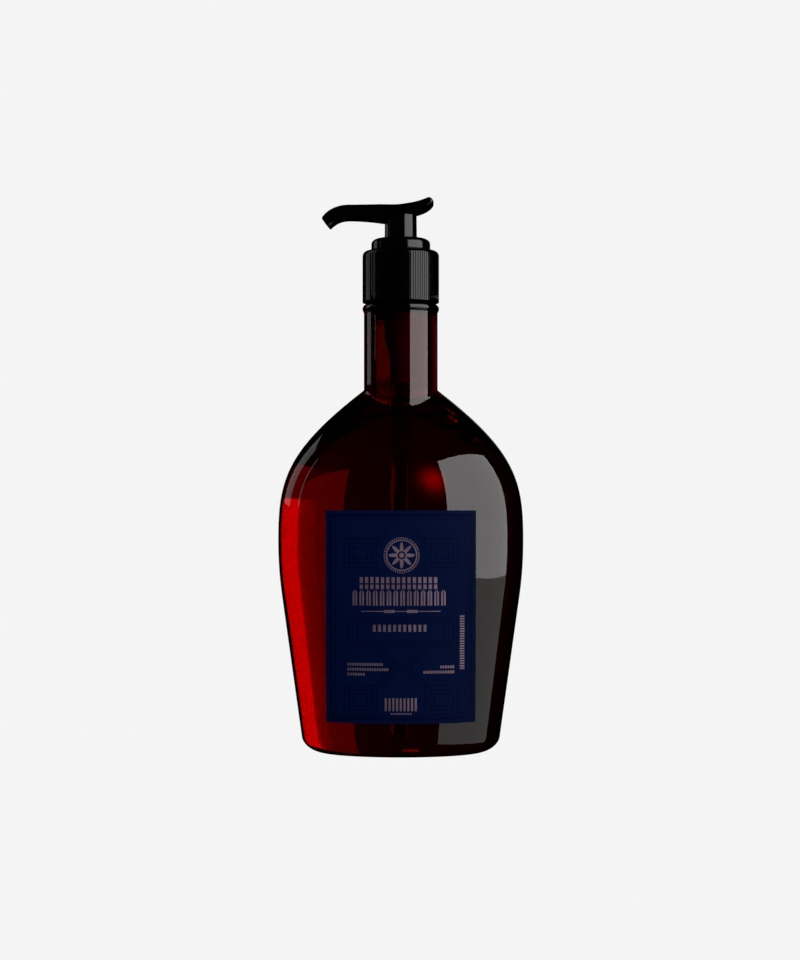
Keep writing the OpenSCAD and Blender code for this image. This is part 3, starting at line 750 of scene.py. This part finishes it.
def tube(path, radius, columns):
    # circle of the radius carried along a path in the XZ plane, closed at both ends
    along = np.gradient(path, axis=0)
    along /= np.linalg.norm(along, axis=1)[:, None]
    side = np.stack([-along[:, 1], along[:, 0]], axis=1)
    v = np.linspace(0, 2 * np.pi, columns, endpoint=False)
    x = path[:, 0, None] + side[:, 0, None] * radius * np.sin(v)
    z = path[:, 1, None] + side[:, 1, None] * radius * np.sin(v)
    return capped(np.stack([x, radius * np.cos(v) + 0 * x, z], axis=-1))


def combine(target, cutter, operation):
    # exact boolean, baked into the target's mesh
    modifier = target.modifiers.new(operation, "BOOLEAN")
    modifier.operation, modifier.object, modifier.solver = operation, cutter, "EXACT"
    graph = bpy.context.evaluated_depsgraph_get()
    mesh = bpy.data.meshes.new_from_object(target.evaluated_get(graph))
    target.modifiers.clear()
    target.data = mesh
    bpy.data.objects.remove(cutter)


def buildHead(look):
    # the loft and a turned skirt made one, then hollowed: the space round the boss, the boss cut short, the
    # stem's socket, and the duct from there to the tip
    head = skin("pumpHead", headLoft(look))
    r, low, duct, reach = look["skirtR"], look["skirtLow"], look["spoutTop"] - 3.3, look["reach"]
    outside = join(line((0, low), (r - 0.3, low)),
                   bezier([(r - 0.3, low), (r, low), (r, low + 0.1), (r, low + 0.3)], 3),
                   line((r, low + 0.3), (look["neckR"], duct), 6), line((look["neckR"], duct), (0, duct)))
    combine(head, skin("skirt", turned(outside, 128)), "UNION")
    inner, boss, roof = r - look["skirtWall"], look["bossR"], look["stemTop"] - 1.0
    hollow = join(line((boss, low - 1), (inner, low - 1), 1), line((inner, low - 1), (inner, roof), 6),
                  line((inner, roof), (boss, roof), 1), line((boss, roof), (boss, low - 1), 6))
    combine(head, skin("hollow", turned(hollow[:-1], 96), loopRows=True), "DIFFERENCE")
    trim = np.array([(0, low - 2), (boss + 0.4, low - 2), (boss + 0.4, low + 2.5), (0, low + 2.5)])
    combine(head, skin("trim", turned(trim, 96)), "DIFFERENCE")
    stemR, stemTop = look["stemR"], look["stemTop"]
    socket = join(line((0, low), (stemR, low)), line((stemR, low), (stemR, stemTop), 3),
                  line((stemR, stemTop), (0, stemTop)))
    combine(head, skin("socket", turned(socket, 64)), "DIFFERENCE")
    tip = np.array([-reach + 1.9, look["spoutTop"] - 7.0])
    path = join(line(tip - (3, 2.6), tip, 2),
                bezier([tip, tip + (3.0, 2.6), (-reach + 8.5, duct), (-reach + 12, duct)], 16),
                line((-reach + 12, duct), (0, duct), 4))
    combine(head, skin("duct", tube(path, look["duct"], 40)), "DIFFERENCE")
    head.data.shade_smooth()
    head.data.set_sharp_from_angle(angle=math.radians(35))
    return head


place(buildHead(headShape), "head", "black_plastic", blackPlastic, "actuator")
print("head made")


springLow, springHigh = boxOf("spring")
springShape = {"low": springLow[2], "high": springHigh[2], "r": 3.0, "wire": 0.35, "turns": 7}


def buildSpring(look):
    # helix of one pitch between two flat-wound end turns, with a round wire carried along it
    t = np.linspace(0, look["turns"], 48 * look["turns"])[:, None]
    v = np.linspace(0, 2 * np.pi, 14, endpoint=False)[None, :]
    low, high = look["low"] + look["wire"], look["high"] - look["wire"]
    closed, turns = 2 * look["wire"], look["turns"]
    rise = np.interp(t, [0, 1, turns - 1, turns], [low, low + closed, high - closed, high])
    u = 2 * np.pi * t
    r = look["r"] + look["wire"] * np.cos(v)
    grid = np.stack([r * np.cos(u), r * np.sin(u), rise + look["wire"] * np.sin(v)], axis=-1)
    return skin("returnSpring", capped(grid[::-1]))


spring = place(buildSpring(springShape), "pump_core", "steel", steel, "spring")
travel = next(j for j in frame["joints"] if j["name"] == "head_press")["range_m"][1]
1 - travel / ((springHigh[2] - springLow[2]) * mm)
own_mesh(spring)

nodeFinish = {"housing": housingPlastic, "dip_tube": clearTube, "stem": naturalPlastic,
              "piston_rod": naturalPlastic, "piston": whitePlastic, "gasket": sealFoam,
              "inlet_ball": steel}
for node, material in nodeFinish.items():
    mesh = frame["nodes"][node].data
    mesh.materials.clear()
    mesh.materials.append(material)
print("pump pieces finished")


mirror, through, matte = "glossy", "transmission", "diffuse"
studio = {
    "pale": 0.905, "dust": 0.003, "floorRadius": 6.0,
    # azimuth from the front towards +X, lowest and highest point, distance, width, radiance, what it lights
    "lights": {
        "rightSoftbox": (60.5, -0.07, 0.98, 0.95, 1.17, 2.7, (mirror,)),
        "rightThrough": (62.5, -0.2, 1.03, 1.0, 1.31, 2.7, (through,)),
        "rightLowThrough": (62.5, -0.75, -0.2, 1.0, 1.31, 0.32, (through,)),
        "rightLowPanel": (60.5, -0.55, -0.07, 0.95, 1.17, 0.72, (mirror,)),
        "leftStrip": (-118, 0.20, 0.9, 1.0, 0.39, 0.55, (mirror,)),
        "leftSliver": (-87, 0.22, 0.85, 1.0, 0.045, 0.45, (mirror,)),
        "rearRim": (163, 0.2, 0.9, 1.2, 0.16, 0.15, (mirror,)),
        "neckGlow": (-177, 0.205, 0.30, 1.0, 0.09, 0.35, (through,)),
        "litWall": (140, -0.2, 0.6, 1.0, 0.93, 0.15, (through,)),
        "frontFill": (4, 0.0, 1.0, 1.3, 1.2, 1.25, (matte,)),
        "backFill": (184, 0.0, 1.0, 1.5, 1.2, 1.7, (matte,)),
    },
    # what the red lets through from behind: azimuth, elevation, narrowness and peak of each soft glow
    "glows": {"wideWall": (130, 4, 8, 0.06), "farLamp": (-171, -11, 700, 0.6)}, "rest": 0.012,
}


def aimedLight(name, azimuth, low, high, distance, width, radiance, reach):
    # upright rectangle of even radiance L facing the axis, so its power is pi * area * L
    data = bpy.data.lights.new(name, "AREA")
    data.shape, data.size, data.size_y = "RECTANGLE", width, high - low
    data.energy = math.pi * width * (high - low) * radiance
    light = bpy.data.objects.new(name, data)
    a = math.radians(azimuth)
    light.location = (distance * math.sin(a), -distance * math.cos(a), (low + high) / 2)
    light.rotation_euler = (math.radians(90), 0, a)
    light.visible_camera = False
    light.visible_glossy = mirror in reach
    light.visible_transmission = through in reach
    light.visible_diffuse = matte in reach
    bpy.context.scene.collection.objects.link(light)


def buildFloor(look):
    # a wide disc that glows as evenly as the backdrop, so that the two meet without an edge
    floor = skin("floor", turned(line((look["floorRadius"] / mm, 0), (0, 0)), 96))
    material, surface, at = shader("paleFloor", Roughness=0.8, Base_Color=colour(0, 0, 0),
                                   Specular_IOR_Level=0.0, Emission_Strength=1.0)
    dim, bright = look["pale"] - look["dust"], look["pale"] + look["dust"]
    feed(surface, Emission_Color=at.noise(8, 3).blend(colour(dim, dim, dim),
                                                      colour(bright, bright, bright)))
    floor.data.materials.append(material)
    floor.visible_glossy = floor.visible_transmission = False
    floor.visible_diffuse = floor.visible_shadow = False


def buildWorld(look):
    # pale backdrop to the camera, dark room in reflections, and through the red a few soft glows behind:
    # rest + sum of peak * (direction . towards the glow)^narrow
    world = bpy.data.worlds.new("room")
    world.use_nodes = True
    bpy.context.scene.world = world
    start = Wire(world.node_tree, None)
    direction = start.add("TexCoord", {}, {}, "Generated")
    behind = look["rest"]
    for azimuth, elevation, narrow, peak in look["glows"].values():
        a, e = math.radians(azimuth), math.radians(elevation)
        towards = (math.sin(a) * math.cos(e), -math.cos(a) * math.cos(e), math.sin(e))
        facing = start.add("VectorMath", {"operation": "DOT_PRODUCT"},
                           {0: direction, 1: towards}, "Value")
        behind = behind + start.calc("POWER", facing | 0.0, narrow) * peak
    behind = behind * start.add("LightPath", {}, {}, "Is Transmission Ray") + 0.0005
    seen = start.add("LightPath", {}, {}, "Is Camera Ray")
    level = seen * look["pale"] + (1 - seen) * behind
    world.node_tree.links.new(level.socket, world.node_tree.nodes["Background"].inputs["Color"])


for name, settings in studio["lights"].items():
    aimedLight(name, *settings)
buildFloor(studio)
buildWorld(studio)

cameraView = {"distance": 0.771, "height": 0.0925, "pitch": 0.79, "lens": 76.1, "sideways": -0.0003}
camera = bpy.data.objects.new("camera", bpy.data.cameras.new("camera"))
bpy.context.scene.collection.objects.link(camera)
camera.location = (cameraView["sideways"], -cameraView["distance"], cameraView["height"])
camera.rotation_euler = (math.radians(90 + cameraView["pitch"]), 0, 0)
camera.data.lens = cameraView["lens"]
camera.data.clip_start = 0.05
bpy.context.scene.camera = camera

scene = bpy.context.scene
scene.view_settings.view_transform = "Standard"
scene.cycles.use_denoising = True
scene.cycles.max_bounces = 20
scene.cycles.transmission_bounces = 16
scene.cycles.glossy_bounces = 8
print("studio made")
